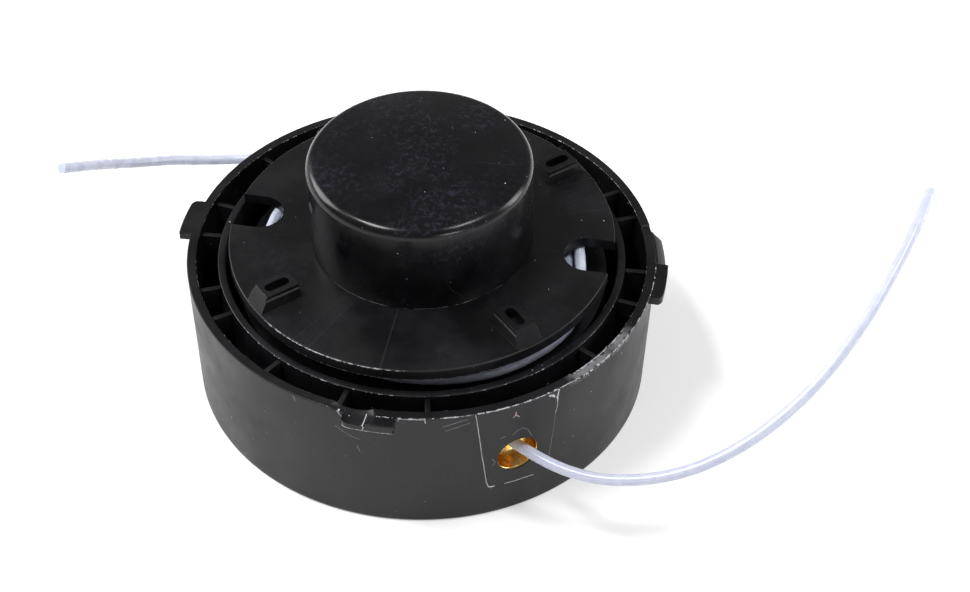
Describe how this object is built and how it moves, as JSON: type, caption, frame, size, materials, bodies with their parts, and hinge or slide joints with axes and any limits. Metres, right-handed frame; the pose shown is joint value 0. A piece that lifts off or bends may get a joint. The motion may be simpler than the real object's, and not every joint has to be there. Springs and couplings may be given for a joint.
{
  "type": "trimmer head",
  "caption": "Bump-feed line trimmer head, cover removed: double-walled drum, sprung spool with bump knob, brass line eyelets and nylon line tails.",
  "frame": {"origin": "centre of the drum's underside, at the mouth of the arbor's threaded hole", "axes": "+Z along the drum's axis towards the bump knob; -Y faces the picture's camera, +X is the picture's right"},
  "size_m": [0.1863, 0.1084, 0.059],
  "materials": {
    "drum_plastic": "satin black glass-filled nylon, scuffed",
    "spool_plastic": "satin black nylon",
    "knob_plastic": "worn gloss black nylon",
    "eyelet_brass": "turned, line-polished",
    "zinc_steel": "zinc plated",
    "spring_steel": "plain spring wire",
    "nylon_line": "translucent clear-white nylon"
  },
  "bodies": {
    "drum": {"drum": "drum_plastic", "arbor_nut": "zinc_steel", "front_eyelet": "eyelet_brass", "rear_eyelet": "eyelet_brass", "return_spring": "spring_steel", "front_tail": "nylon_line", "rear_tail": "nylon_line"},
    "washer": {"thrust_washer": "zinc_steel"},
    "spool": {"spool": "spool_plastic", "bump_knob": "knob_plastic", "upper_winding": "nylon_line", "lower_winding": "nylon_line"}
  },
  "joints": [
    {"name": "bump", "type": "slide", "parent": "drum", "child": "washer", "axis": [0, 0, 1], "range_m": [-0.008, 0], "stiffness_N_per_m": 560, "springref_m": 0.0035, "deforming": ["return_spring"]},
    {"name": "spool_spin", "type": "hinge", "parent": "washer", "child": "spool", "pos_m": [0, 0, 0.036], "axis": [-0.0206, -0.0096, 0.9997], "continuous": true}
  ]
}
